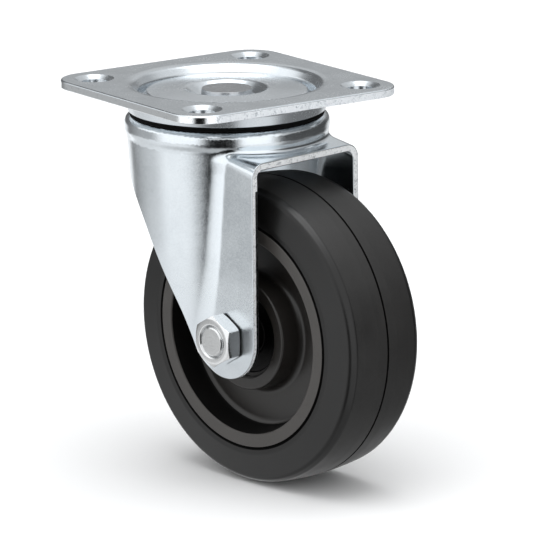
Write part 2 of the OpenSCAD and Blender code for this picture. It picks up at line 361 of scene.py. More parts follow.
M_PLATE = zinc("zinc_plate", (0.78, 0.825, 0.86), (0.69, 0.735, 0.775), 0.20, 0.27, grain=0.12, patch=1.0, fleck=0.3)
M_PLATE_EDGE = sheared("zinc_plate_edge", (0.90, 0.93, 0.95), (0.60, 0.63, 0.66), 0.10, 0.20, -0.05, grain=0.35)
M_PLATE_CUT = sheared("zinc_plate_cut_edge", (0.93, 0.965, 1.0), (0.50, 0.54, 0.58), 0.34, 0.50, -0.008, grain=1.0, metal=0.35)
M_FORK = zinc("zinc_fork", (0.82, 0.87, 0.905), (0.73, 0.78, 0.82), 0.12, 0.21, grain=1.3, patch=1.2, fleck=1.4, low_soft=0.17)
# darker copy of the fork's zinc for the inner skin: painted shade inside the fork
M_FORK_INSIDE_SHADE = zinc("zinc_fork_inside_painted_shade", (0.50, 0.54, 0.57), (0.40, 0.44, 0.47), 0.15, 0.25, grain=1.3, patch=1.2, fleck=1.4)
M_FORK_EDGE = sheared("zinc_fork_edge", (0.95, 0.965, 0.975), (0.42, 0.44, 0.46), 0.34, 0.50, 0.0, grain=1.2, metal=0.3)
# near-black copy of the fork's cut edge: painted shade on the near leg's lower front edge
M_EDGE_PAINTED_SHADE = sheared("zinc_fork_edge_painted_shade", (0.20, 0.205, 0.21), (0.03, 0.032, 0.035), 0.30, 0.50, 0.08, grain=1.2)
M_NUT = zinc("zinc_nut", (0.86, 0.87, 0.875), (0.76, 0.77, 0.775), 0.12, 0.20, grain=0.3, patch=0.6, fleck=0.6)
M_RIVET = zinc("rivet_steel", (0.50, 0.515, 0.53), (0.40, 0.415, 0.43), 0.16, 0.25, grain=0.25, patch=0.8, fleck=0.5)
M_STEEL = zinc("bearing_steel", (0.80, 0.81, 0.82), (0.70, 0.71, 0.72), 0.10, 0.16, grain=0.1, patch=0.4, fleck=0.3)
M_STRIP = zinc("pressed_steel", (0.64, 0.64, 0.63), (0.50, 0.50, 0.50), 0.25, 0.36, grain=0.5, patch=1.0)
# near-black steel for the sleeves: painted shade in the hub's bore
M_SLEEVE_SHADE = zinc("spacer_steel", (0.050, 0.049, 0.048), (0.024, 0.024, 0.023), 0.38, 0.5, grain=0.6, patch=1.0)
# near-black steel: painted shade at the foot of the nut and bolt head against the legs, and in the hub's mouth
M_SHADE_STEEL = zinc("steel_painted_shade", (0.034, 0.033, 0.033), (0.016, 0.016, 0.016), 0.40, 0.55, grain=0.4, patch=1.0)
M_SEAL = plastic("seal_rubber", (0.004, 0.004, 0.004), (0.002, 0.002, 0.002), 0.6, 0.75, spec=0.12)
M_CENTRE = plastic("wheel_plastic", (0.019, 0.0168, 0.0150), (0.013, 0.0115, 0.0104), 0.30, 0.42, spec=0.55, grain=1.4)
M_TYRE = plastic("tyre_rubber", (0.0070, 0.0067, 0.0065), (0.0045, 0.0043, 0.0042), 0.30, 0.40, spec=0.46, grain=1.2, scuff=0.4)
# lighter copy of the wheel plastic for the rim ring's face: painted light
M_RING_LIT = plastic("rim_edge_painted_light", (0.056, 0.0515, 0.0478), (0.043, 0.0395, 0.0367), 0.30, 0.42, spec=0.55, grain=1.4)
# near-black plastic: painted shade on the deep recess wall between rim and web
M_RECESS_SHADE = plastic("recess_wall_painted_shade", (0.0040, 0.0037, 0.0035), (0.0024, 0.0022, 0.0021), 0.55, 0.7, spec=0.12)
M_TREAD = plastic("tyre_tread", (0.0200, 0.0192, 0.0186), (0.0120, 0.0115, 0.0112), 0.42, 0.54, spec=0.50, grain=1.6, scuff=0.4)
# near-black: painted shade in the tread's centre groove and in the gap between tyre and rim
M_GROOVE_SHADE = plastic("groove_painted_shade", (0.0022, 0.0021, 0.0020), (0.0012, 0.0012, 0.0011), 0.6, 0.8, spec=0.05)


# ---- fork: one pressed sheet ----------------------------------------------
def bend(a, b, c, n):
    a, b, c = np.array(a, float), np.array(b, float), np.array(c, float)
    t = np.linspace(0, 1, n + 1)[:, None]
    return ((1 - t) ** 2 * a + 2 * t * (1 - t) * b + t * t * c).tolist()


def shell_r(z):
    return 32.5 + (z + 17) * 3 / 49


def arc(cx, cz, r, a0, a1, n):
    return [[cx + r * math.cos(math.radians(a0 + (a1 - a0) * k / n)), cz + r * math.sin(math.radians(a0 + (a1 - a0) * k / n))] for k in range(n + 1)]


def head_section():
    pts = [[0, -11.15], [25.4, -11.15]] + bend([25.4, -11.15], [26.2, -11.15], [26.4, -10.6], 3)[1:] + bend([26.4, -10.6], [26.7, -10], [27.4, -10], 3)[1:]
    pts += arc(30.75, -12.65, 2.65, 90, 0, 9)
    for k in range(0, 13):
        z = -14.1 - 3.4 * k / 12
        pts.append([32.95 + 0.45 * math.cos(math.pi * k / 12), z])
    for z in range(-24, -96, -2):
        t = min(max((-48.0 - z) / 36.0, 0.0), 1.0)
        pts.append([shell_r(z) - 1.1 * t * t * (3 - 2 * t), z])
    pts.append([0, -94])
    return np.array(pts)


def poly_sdf(P, V):
    """Signed distance in the plane to a closed outline, negative inside."""
    d2 = np.full(len(P), 1e18)
    inside = np.zeros(len(P), bool)
    n = len(V)
    for i in range(n):
        a, b = V[i], V[(i + 1) % n]
        e = b - a
        w = P - a
        ee = float(e @ e)
        if ee < 1e-18:
            continue
        t = np.clip((w @ e) / ee, 0, 1)
        q = w - t[:, None] * e
        d2 = np.minimum(d2, (q * q).sum(1))
        cond = (P[:, 1] >= a[1]) != (P[:, 1] >= b[1])
        if cond.any():
            xs = a[0] + (P[:, 1] - a[1]) / (b[1] - a[1] if b[1] != a[1] else 1e-12) * (b[0] - a[0])
            inside ^= cond & (P[:, 0] < xs)
    d = np.sqrt(d2)
    return np.where(inside, -d, d)


HEAD = head_section()


def body_sdf(P):
    """Solid whose skin is the outside of the pressing."""
    x, y, z = P[:, 0], P[:, 1], P[:, 2]
    r = np.hypot(x, y)
    d_head = poly_sdf(np.stack([r, z], 1), HEAD)
    roof = ROOF_Z + 0.11 * (LEG_X - np.clip(x, 12, 60))
    rb = np.clip(3.0 + (x - 24.0) / 12.0 * 2.0, 3.0, 5.0)
    qy, qz = np.abs(y) - LEG_Y + rb, z - roof + rb
    d_u = np.hypot(np.maximum(qy, 0), np.maximum(qz, 0)) + np.minimum(np.maximum(qy, qz), 0) - rb
    d_u = np.maximum(d_u, -x)
    w = np.clip((z + 24.0) / 5.0, 0, 1)
    w = w * w * (3 - 2 * w)
    k = 1.9 + 0.3 * w
    a, b = np.maximum(k - d_head, 0), np.maximum(k - d_u, 0)
    return np.maximum(k, np.minimum(d_head, d_u)) - np.hypot(a, b)


def grad(f, P, e=0.02):
    g = np.empty_like(P)
    for i in range(3):
        D = np.zeros(3)
        D[i] = e
        g[:, i] = (f(P + D) - f(P - D)) / (2 * e)
    return g


def settle(P, n=4):
    """Move points on to the body's skin."""
    for _ in range(n):
        g = grad(body_sdf, P)
        P = P - (body_sdf(P) / np.maximum((g * g).sum(1), 0.05))[:, None] * g
    return P


def surface_nets(f, lo, hi, h):
    lo, hi = np.array(lo, float), np.array(hi, float)
    n = np.ceil((hi - lo) / h).astype(int) + 1
    ax = [lo[i] + h * np.arange(n[i]) for i in range(3)]
    G = np.stack(np.meshgrid(*ax, indexing="ij"), -1).reshape(-1, 3)
    V = np.empty(len(G))
    for s in range(0, len(G), 200000):
        V[s : s + 200000] = f(G[s : s + 200000])
    V = V.reshape(n)
    ins = V < 0
    m = n - 1
    corners = [(i, j, k) for i in (0, 1) for j in (0, 1) for k in (0, 1)]
    count = sum(ins[c[0] : c[0] + m[0], c[1] : c[1] + m[1], c[2] : c[2] + m[2]].astype(int) for c in corners)
    cells = np.argwhere((count > 0) & (count < 8))
    idx = -np.ones(m, int)
    idx[tuple(cells.T)] = np.arange(len(cells))
    pos, num = np.zeros((len(cells), 3)), np.zeros(len(cells))
    for c in corners:
        for a in range(3):
            if c[a]:
                continue
            e = list(c)
            e[a] = 1
            v0 = V[tuple((cells + c).T)]
            v1 = V[tuple((cells + e).T)]
            hit = (v0 < 0) != (v1 < 0)
            t = np.where(hit, v0 / np.where(hit, v0 - v1, 1.0), 0.0)
            p = cells + np.array(c, float)
            p[:, a] += t
            pos += p * hit[:, None]
            num += hit
    pos = lo + h * pos / num[:, None]
    quads = []
    for a in range(3):
        b, c = (a + 1) % 3, (a + 2) % 3
        s0 = [slice(None)] * 3
        s1 = [slice(None)] * 3
        s0[a], s1[a] = slice(0, -1), slice(1, None)
        diff = ins[tuple(s0)] != ins[tuple(s1)]
        E = np.argwhere(diff)
        ok = (E[:, b] >= 1) & (E[:, c] >= 1) & (E[:, b] < m[b]) & (E[:, c] < m[c])
        E = E[ok]
        q = []
        for db, dc in ((-1, -1), (0, -1), (0, 0), (-1, 0)):
            F = E.copy()
            F[:, b] += db
            F[:, c] += dc
            q.append(idx[tuple(F.T)])
        quads.append(np.stack(q, 1))
    return pos, np.concatenate(quads)


def outline():
    """Side view of the pressing (x', z): smooth rear edge, round leg end, straight front."""
    K = np.array([[-42, -21.2], [-33, -23.4], [-27, -26], [-21.5, -29.2], [-16.5, -33], [-11.9, -37.6], [-8.0, -42.6],
                  [-4.4, -48.6], [-1.0, -55], [2.4, -61.6], [5.5, -67.9], [7.4, -72.4], [9.3, -77.9], [10.99, -83.10]], float)
    ext = np.vstack([2 * K[0] - K[1], K, [[12.9, -87.0]]])
    pts = []
    for i in range(1, len(ext) - 2):
        p0, p1, p2, p3 = ext[i - 1], ext[i], ext[i + 1], ext[i + 2]
        for t in np.linspace(0, 1, 7)[:-1]:
            pts.append(0.5 * (2 * p1 + (p2 - p0) * t + (2 * p0 - 5 * p1 + 4 * p2 - p3) * t * t + (3 * p1 - p0 - 3 * p2 + p3) * t ** 3))
    r = LEG_X - TRAIL
    pts += [np.array(q) for q in arc(TRAIL, AXLE_Z, r, 205, 360, 36)]
    pts += [np.array([LEG_X, 5.0]), np.array([-42, 5.0])]
    return np.array(pts)


OUTLINE = outline()
EDGE = 0.3


def cut_field(P):
    side = poly_sdf(P[:, [0, 2]], OUTLINE)
    hole = np.where(P[:, 2] > -30, 8.2 - np.hypot(P[:, 0], P[:, 1]), -99.0)
    axle = 5.1 - np.hypot(P[:, 0] - TRAIL, P[:, 2] - AXLE_Z)
    return np.maximum(np.maximum(side, hole), axle)


def tangent_grad(P, N):
    g = grad(cut_field, P, 0.03)
    return g - (g * N).sum(1)[:, None] * N


def to_curve(P, n=5):
    """Move points on to the line where the skin meets the trimmed edge."""
    for _ in range(n):
        N = grad(body_sdf, P)
        N /= np.linalg.norm(N, axis=1, keepdims=True)
        g = tangent_grad(P, N)
        P = P - ((cut_field(P) + EDGE) / np.maximum((g * g).sum(1), 0.1))[:, None] * g
        P = P - body_sdf(P)[:, None] * N
    return P


def fork_mesh(h=0.8):
    P, Q = surface_nets(body_sdf, (-35.5, -35.5, -92.5), (38.5, 35.5, -8.5), h)
    a, b, c, d = (P[Q[:, i]] for i in range(4))
    short = np.linalg.norm(a - c, axis=1) <= np.linalg.norm(b - d, axis=1)
    T = np.concatenate([np.where(short[:, None], Q[:, [0, 1, 2]], Q[:, [0, 1, 3]]), np.where(short[:, None], Q[:, [0, 2, 3]], Q[:, [1, 2, 3]])])
    # only what lies near the piece is kept
    f = cut_field(P)
    T = T[(f[T] < 3.0).all(1)]
    used = np.unique(T)
    back = -np.ones(len(P), int)
    back[used] = np.arange(len(used))
    P, T = P[used], back[T]
    P = settle(P, 3)
    E = np.unique(np.sort(np.concatenate([T[:, [0, 1]], T[:, [1, 2]], T[:, [2, 0]]]), axis=1), axis=0)
    deg = np.bincount(E.ravel(), minlength=len(P)).astype(float)
    for _ in range(4):
        S = np.zeros_like(P)
        for i in range(3):
            S[:, i] = np.bincount(E[:, 0], P[E[:, 1], i], len(P)) + np.bincount(E[:, 1], P[E[:, 0], i], len(P))
        move = S / np.maximum(deg, 1)[:, None] - P
        N = grad(body_sdf, P)
        N /= np.maximum(np.linalg.norm(N, axis=1, keepdims=True), 1e-9)
        P = P + 0.6 * (move - (move * N).sum(1)[:, None] * N)
        P = settle(P, 1)
    P = settle(P, 2)
    f = cut_field(P) + EDGE
    near = np.abs(f) < 0.33 * h
    P[near] = to_curve(P[near])
    f[near] = 0.0
    F = f[T]
    whole = T[(F <= 0).all(1) & (F < 0).any(1)]
    mixed = T[(F > 0).any(1) & (F < 0).any(1)]
    cuts, new = {}, []

    def cutpoint(i, j):
        key = (i, j) if i < j else (j, i)
        if key not in cuts:
            cuts[key] = len(P) + len(new)
            t = f[key[0]] / (f[key[0]] - f[key[1]])
            new.append(P[key[0]] + t * (P[key[1]] - P[key[0]]))
        return cuts[key]

    extra = []
    for tri in mixed:
        poly = []
        for i in range(3):
            u, v = int(tri[i]), int(tri[(i + 1) % 3])
            if f[u] <= 0:
                poly.append(u)
            if (f[u] < 0 < f[v]) or (f[v] < 0 < f[u]):
                poly.append(cutpoint(u, v))
        for i in range(1, len(poly) - 1):
            extra.append([poly[0], poly[i], poly[i + 1]])
    if new:
        P = np.vstack([P, to_curve(np.array(new))])
    T = np.vstack([whole, np.array(extra, int)])
    used = np.unique(T)
    back = -np.ones(len(P), int)
    back[used] = np.arange(len(used))
    P, T = P[used], back[T]
    N = grad(body_sdf, P)
    N /= np.linalg.norm(N, axis=1, keepdims=True)
    # triangles face outwards
    g = np.cross(P[T[:, 1]] - P[T[:, 0]], P[T[:, 2]] - P[T[:, 0]])
    wrong = (g * N[T[:, 0]]).sum(1) < 0
    T[wrong] = T[wrong][:, ::-1]
    # keep the largest connected skin
    parent = np.arange(len(P))

    def find(i):
        while parent[i] != i:
            parent[i] = parent[parent[i]]
            i = parent[i]
        return i

    for t0, t1, t2 in T:
        r0, r1, r2 = find(t0), find(t1), find(t2)
        parent[r1] = r0
        parent[find(r2)] = r0
    root = np.array([find(i) for i in range(len(P))])
    best = np.bincount(root[T[:, 0]]).argmax()
    T = T[root[T[:, 0]] == best]
    # inside skin: the sheet's thickness inwards, straight down under the ball track
    rr = np.hypot(P[:, 0], P[:, 1])
    w = np.clip((rr - 27.5) / 3.0, 0, 1)
    w = np.where(P[:, 2] > -12.7, w * w * (3 - 2 * w), 1.0)[:, None]
    down = w * N + (1 - w) * np.array([0, 0, 1.0])
    down /= np.linalg.norm(down, axis=1, keepdims=True)
    inner = P - FORK_T * down
    # open edges get a rounded rim
    he = np.concatenate([T[:, [0, 1]], T[:, [1, 2]], T[:, [2, 0]]])
    und, inv, cnt = np.unique(np.sort(he, axis=1), axis=0, return_inverse=True, return_counts=True)
    rim = he[cnt[inv.ravel()] == 1]
    rv = np.unique(rim)
    col = -np.ones(len(P), int)
    col[rv] = np.arange(len(rv))
    p, n, dn = P[rv], N[rv], down[rv]
    b = tangent_grad(p, n)
    gl = np.linalg.norm(b, axis=1, keepdims=True)
    b = b / np.maximum(gl, 1e-6)
    r = np.clip(EDGE / np.maximum(gl, 0.4), EDGE, 0.6)
    cols_p, cols_n = [], []
    for al in (30, 60, 90):
        ca, sa = math.cos(math.radians(al)), math.sin(math.radians(al))
        cols_p.append(p - r * dn + r * (dn * ca + b * sa))
        cols_n.append(dn * ca + b * sa)
    cols_p.append(p - (r + (FORK_T - 2 * r) * 0.55) * dn + r * b)
    cols_n.append(b.copy())
    for al in (90, 60, 30):
        ca, sa = math.cos(math.radians(al)), math.sin(math.radians(al))
        cols_p.append(p - (FORK_T - r) * dn + r * (-dn * ca + b * sa))
        cols_n.append(-dn * ca + b * sa)
    nv, nr = len(P), len(rv)
    verts = np.vstack([P, inner] + cols_p)
    norms = np.vstack([N, -N] + cols_n)
    # the inner skin takes material 3, the darker zinc: painted shade inside the fork
    faces = [tuple(t) for t in T.tolist()] + [tuple(t) for t in (T[:, ::-1] + nv).tolist()]
    rings = [lambda q: q] + [(lambda q, k=k: 2 * nv + k * nr + col[q]) for k in range(7)] + [lambda q: q + nv]
    # strips: rounding, the cut's burnished part, its inner part, rounding; the inner part is near black on the near
    # leg's lower front, painted shade
    index = [0] * len(T) + [3] * len(T)
    mid = (P[rim[:, 0]] + P[rim[:, 1]]) / 2
    # painted shade: the inner part of the cut along the near leg's lower front is near black
    leg_shade_strip = (mid[:, 1] < -8) & (mid[:, 2] < ROOF_Z - 9) & (mid[:, 0] > 20)
    for k in range(8):
        A, B = rings[k], rings[k + 1]
        i, j = rim[:, 0], rim[:, 1]
        faces += [tuple(t) for t in np.stack([A(i), A(j), B(j), B(i)], 1).tolist()]
        index += [0] * len(rim) if k not in (3, 4) else np.where(leg_shade_strip & (k == 4), 2, 1).tolist()
    used = np.unique(np.concatenate([np.array(f) for f in faces]))
    back = -np.ones(len(verts), int)
    back[used] = np.arange(len(used))
    faces = [tuple(back[list(f)]) for f in faces]
    return verts[used], faces, norms[used], index


v, f, n, index = fork_mesh(0.8)
v, n = turn(v, n)
fork = make("fork_pressing", v, f, n, (M_FORK, M_FORK_EDGE, M_EDGE_PAINTED_SHADE, M_FORK_INSIDE_SHADE), "fork", ["fork"], index)


# ---- top plate ------------------------------------------------------------
def rounded_square_loop(half, r, k=20):
    P, N = [], []
    for cx, cy, a0 in ((1, 1, 0), (-1, 1, 90), (-1, -1, 180), (1, -1, 270)):
        for j in range(k + 1):
            a = math.radians(a0 + 90.0 * j / k)
            N.append([math.cos(a), math.sin(a)])
            P.append([cx * (half - r) + r * math.cos(a), cy * (half - r) + r * math.sin(a)])
    return np.array(P), np.array(N)


def flat_region(z, outer, inners, up):
    """Flat face between an outer loop and circles: returns points, triangles, and the
    index of each loop's points."""
    pts, edges, at = [], [], []
    for loop in [outer] + inners:
        s = len(pts)
        at.append(np.arange(s, s + len(loop)))
        pts += [Vector((float(x), float(y))) for x, y in loop]
        edges += [(s + i, s + (i + 1) % len(loop)) for i in range(len(loop))]
    vo, eo, fo, ov, oe, of = delaunay_2d_cdt(pts, edges, [], 0, 1e-7)
    back = {}
    for i, src in enumerate(ov):
        for q in src:
            back[i] = q
    P = np.array([[p.x, p.y] for p in pts])
    tris = []
    for t in fo:
        q = [back[i] for i in t]
        c = P[q].mean(0)
        ok = poly_sdf(c[None, :], np.array(outer))[0] < 0 and all(poly_sdf(c[None, :], np.array(l))[0] > 0 for l in inners)
        if ok:
            tris.append(q)
    return np.column_stack([P, np.full(len(P), z)]), tris, at


def circle(cx, cy, r, n, phase=0.0):
    t = phase + 2 * np.pi * np.arange(n) / n
    return np.column_stack([cx + r * np.cos(t), cy + r * np.sin(t)])


def plate_mesh():
    V, F, NN = [], [], []
    count = 0

    def add(P):
        nonlocal count
        V.append(np.asarray(P, float))
        i = np.arange(count, count + len(P))
        count += len(P)
        return i

    def strip(A, B, na, nb):
        k = len(A)
        for j in range(k):
            m = (j + 1) % k
            F.append((A[j], A[m], B[m], B[j]))
            NN.append(np.array([na[j], na[m], nb[m], nb[j]]))

    t = PLATE_T
    L, LN = rounded_square_loop(PLATE_HALF, CORNER_R)
    LN3 = np.column_stack([LN, np.zeros(len(LN))])
    holes = [(sx * HOLE_AT, sy * HOLE_AT) for sx in (-1, 1) for sy in (-1, 1)]
    nh, nd = 56, 160
    # edge section: (inset, z, normal outwards, normal up)
    top_r, low_r = 0.75, 0.3
    edge = []
    for j in range(6):
        a = math.radians(90 - 90 * j / 5)
        edge.append((top_r - top_r * math.cos(a), -top_r + top_r * math.sin(a), math.cos(a), math.sin(a)))
    for j in range(4):
        a = math.radians(-90 * j / 3)
        edge.append((low_r - low_r * math.cos(a), -t + low_r + low_r * math.sin(a), math.cos(a), math.sin(a)))
    # hole section: (radius, z, normal along r, normal up)
    sec = path([(RIM_HOLE_R + 0.6, 0.0), (RIM_HOLE_R, 0.0, 0.16), (HOLE_R, -1.15, 0.12), (HOLE_R, -t, 0.25), (HOLE_R + 1.0, -t)], step=10)
    # dish sections from the flat rim to the pin's seat, then the underside
    dt = path([(36.0, 0.0), (33.0, 0.0, 8.0), (31.0, -0.25, 3.0), (28.95, -2.6, 1.2), (28.3, -5.25, 1.0), (26.95, -5.25, 0.9), (26.6, -2.5, 1.2),
               (13.6, -1.85, 2.2), (10.1, -4.2, 1.0), (9.3, -4.6, 0.3), (6.0, -4.6)], step=6)
    du = path([(6.0, -4.6 - t), (11.2, -4.6 - t, 0.6), (13.0, -5.2, 1.0), (23.8, -5.25, 0.9), (24.3, -8.6, 1.2), (32.2, -8.6, 0.3), (33.1, -5.2, 2.5), (34.6, -t, 2.0), (36.0, -t)], step=10)
    top_outer = L - LN * edge[0][0]
    low_outer = L - LN * edge[-1][0]
    P, T, at = flat_region(0.0, top_outer, [circle(x, y, sec[0][0][0], nh) for x, y in holes] + [circle(0, 0, dt[0][0][0], nd)], 1)
    it = add(P)
    for q in T:
        F.append(tuple(it[q]))
        NN.append(np.array([[0, 0, 1.0]] * 3))
    P2, T2, at2 = flat_region(-t, low_outer, [circle(x, y, sec[-1][2][0], nh) for x, y in holes] + [circle(0, 0, du[-1][2][0], nd)], -1)
    ib = add(P2)
    for q in T2:
        F.append(tuple(ib[q]))
        NN.append(np.array([[0, 0, -1.0]] * 3))
    # outer edge
    side = []
    prev = it[at[0]]
    for k in range(1, len(edge)):
        ins, z, cr, cz = edge[k]
        cur = ib[at2[0]] if k == len(edge) - 1 else add(np.column_stack([L - LN * ins, np.full(len(L), z)]))
        na = LN3 * edge[k - 1][2] + np.array([0, 0, edge[k - 1][3]])
        nb = LN3 * cr + np.array([0, 0, cz])
        before = len(F)
        strip(prev, cur, na, nb)
        side += range(before, len(F))
        prev = cur

    def revolve(segs, cx, cy, nn, first, last, flip):
        ring = {}

        def at_ring(p):
            key = (round(float(p[0]), 5), round(float(p[1]), 5))
            if key not in ring:
                ring[key] = add(np.column_stack([circle(cx, cy, p[0], nn), np.full(nn, p[1])]))
            return ring[key]

        ring[(round(float(segs[0][0][0]), 5), round(float(segs[0][0][1]), 5))] = first
        ring[(round(float(segs[-1][2][0]), 5), round(float(segs[-1][2][1]), 5))] = last
        tt = 2 * np.pi * np.arange(nn) / nn
        for pa, na, pb, nb in segs:
            A, B = at_ring(pa), at_ring(pb)
            va = np.column_stack([np.cos(tt) * na[0], np.sin(tt) * na[0], np.full(nn, na[1])]) * flip
            vb = np.column_stack([np.cos(tt) * nb[0], np.sin(tt) * nb[0], np.full(nn, nb[1])]) * flip
            strip(A, B, va, vb)

    for k, (x, y) in enumerate(holes):
        revolve(sec, x, y, nh, it[at[1 + k]], ib[at2[1 + k]], -1.0)
    # bore for the pin joins the two dish skins
    bore = path([(6.0, -4.6), (6.0, -4.6 - t)])
    inner_top = add(np.column_stack([circle(0, 0, 6.0, nd), np.full(nd, -4.6)]))
    inner_low = add(np.column_stack([circle(0, 0, 6.0, nd), np.full(nd, -4.6 - t)]))
    revolve(dt, 0, 0, nd, it[at[5]], inner_top, -1.0)
    revolve(bore, 0, 0, nd, inner_top, inner_low, -1.0)
    revolve(du, 0, 0, nd, inner_low, ib[at2[5]], -1.0)
    # the side: smooth along -Y and round the corner at its +X end, sheared rough elsewhere
    index = np.zeros(len(F), int)
    for i in side:
        m = NN[i].mean(0)
        if m[2] < 0.35:
            h = np.hypot(m[0], m[1])
            index[i] = 2 if m[0] > 0.99 * h or m[1] > -0.1 * h else 1
    return np.vstack(V), F, NN, index


v, f, n, index = plate_mesh()
plate = make("plate_pressing", v, f, n, (M_PLATE, M_PLATE_EDGE, M_PLATE_CUT), "plate", ["top_plate"], index)

# riveted pin: low head in the plate's seat, closed over under the lower race
turned("pin", [(0, -1.95), (8.15, -2.0, 0.12), (8.5, -3.9, 0.3), (8.5, -4.6, 0.1), (6.0, -4.6), (6.0, -21.0), (8.5, -21.0, 0.4), (8.2, -24.0, 1.6), (0, -24.4)],
       M_RIVET, "plate", on_swivel, seg_n=96, replaces=["kingpin"])

# seal: its lip follows the head's shoulder, clear of it, so that the fork turns under it
turned("seal_ring", [(26.0, -8.65), (26.0, -9.9), (30.7, -9.9, 0.6), (31.3, -9.95, 0.4), (31.75, -10.12, 0.15), (31.7, -9.8, 0.15), (31.3, -9.3, 0.4), (31.2, -8.65, 0.2)],
       M_SEAL, "plate", on_swivel, seg_n=160, replaces=["head_seal"])

# ---- wheel ----------------------------------------------------------------
WY = 17.0
centre_half = [(37.4, WY - 0.55, 0.0), (36.9, WY, 0.35), (32.75, WY, 0.55), (31.15, 8.0, 2.3), (19.1, 8.0, 2.2), (18.25, 16.05, 0.75), (14.55, 16.05, 0.3), (14.0, 15.5, 0.2), (14.0, 14.2, 0.2), (13.0, 13.7, 0.2)]
sec = centre_half + [(13.0, 5.5), (11.2, 5.5), (11.2, -5.5), (13.0, -5.5)] + [(c[0], -c[1], *c[2:]) for c in centre_half[::-1]]
centre = turned("wheel_moulding", sec, M_CENTRE, "wheel", on_axle, seg_n=192, replaces=["wheel_rim", "wheel_web", "wheel_hub"], step=10)

tyre_half = [(37.45, WY - 0.55), (38.0, WY - 0.15, 0.3), (39.6, WY - 0.1, 4.0), (47.9, 15.55, 2.0), (49.1, 13.4, 3.0), (49.5, 9.6, 8.0), (49.93, 4.2, 20.0), (50.0, 0.42, 0.1), (49.2, 0.0, 0.1)]
sec = tyre_half + [(c[0], -c[1], *c[2:]) for c in tyre_half[-2::-1]]
tyre = turned("tyre_ring", sec, M_TYRE, "wheel", on_axle, seg_n=256, replaces=["tyre"], step=8, arc_len=3.0)


def finish_and_painted_light_faces(obj, mat, where):
    """Faces picked by radius and place along the axle get a material of their own: a finish, or painted light and
    shade.
    """
    obj.data.materials.append(mat)
    slot = len(obj.data.materials) - 1
    c, s = math.cos(FORK_TURN), math.sin(FORK_TURN)
    for q in obj.data.polygons:
        x, y, z = (k * 1000 for k in q.center)
        fx, fy = x * c + y * s, -x * s + y * c
        if where(math.hypot(fx - TRAIL, z - AXLE_Z), fy):
            q.material_index = slot


finish_and_painted_light_faces(tyre, M_TREAD, lambda r, y: r > 49.3)
# painted shade: the tyre's lip against the rim and the tread's centre groove are near black
finish_and_painted_light_faces(tyre, M_GROOVE_SHADE, lambda r, y: r < 38.0 or (abs(y) < 0.4 and r < 49.95))
# painted light: the rim ring's outer face is lighter than the rest of the moulding
finish_and_painted_light_faces(centre, M_RING_LIT, lambda r, y: r > 32.6 and abs(y) > 16.5)
# painted shade: the recess wall between rim and web is near black
finish_and_painted_light_faces(centre, M_RECESS_SHADE, lambda r, y: 31.0 < r < 32.6 and 8.6 < abs(y) < 16.4)
# painted shade: the rim's outer edge against the tyre is near black
finish_and_painted_light_faces(centre, M_GROOVE_SHADE, lambda r, y: r > 37.0)


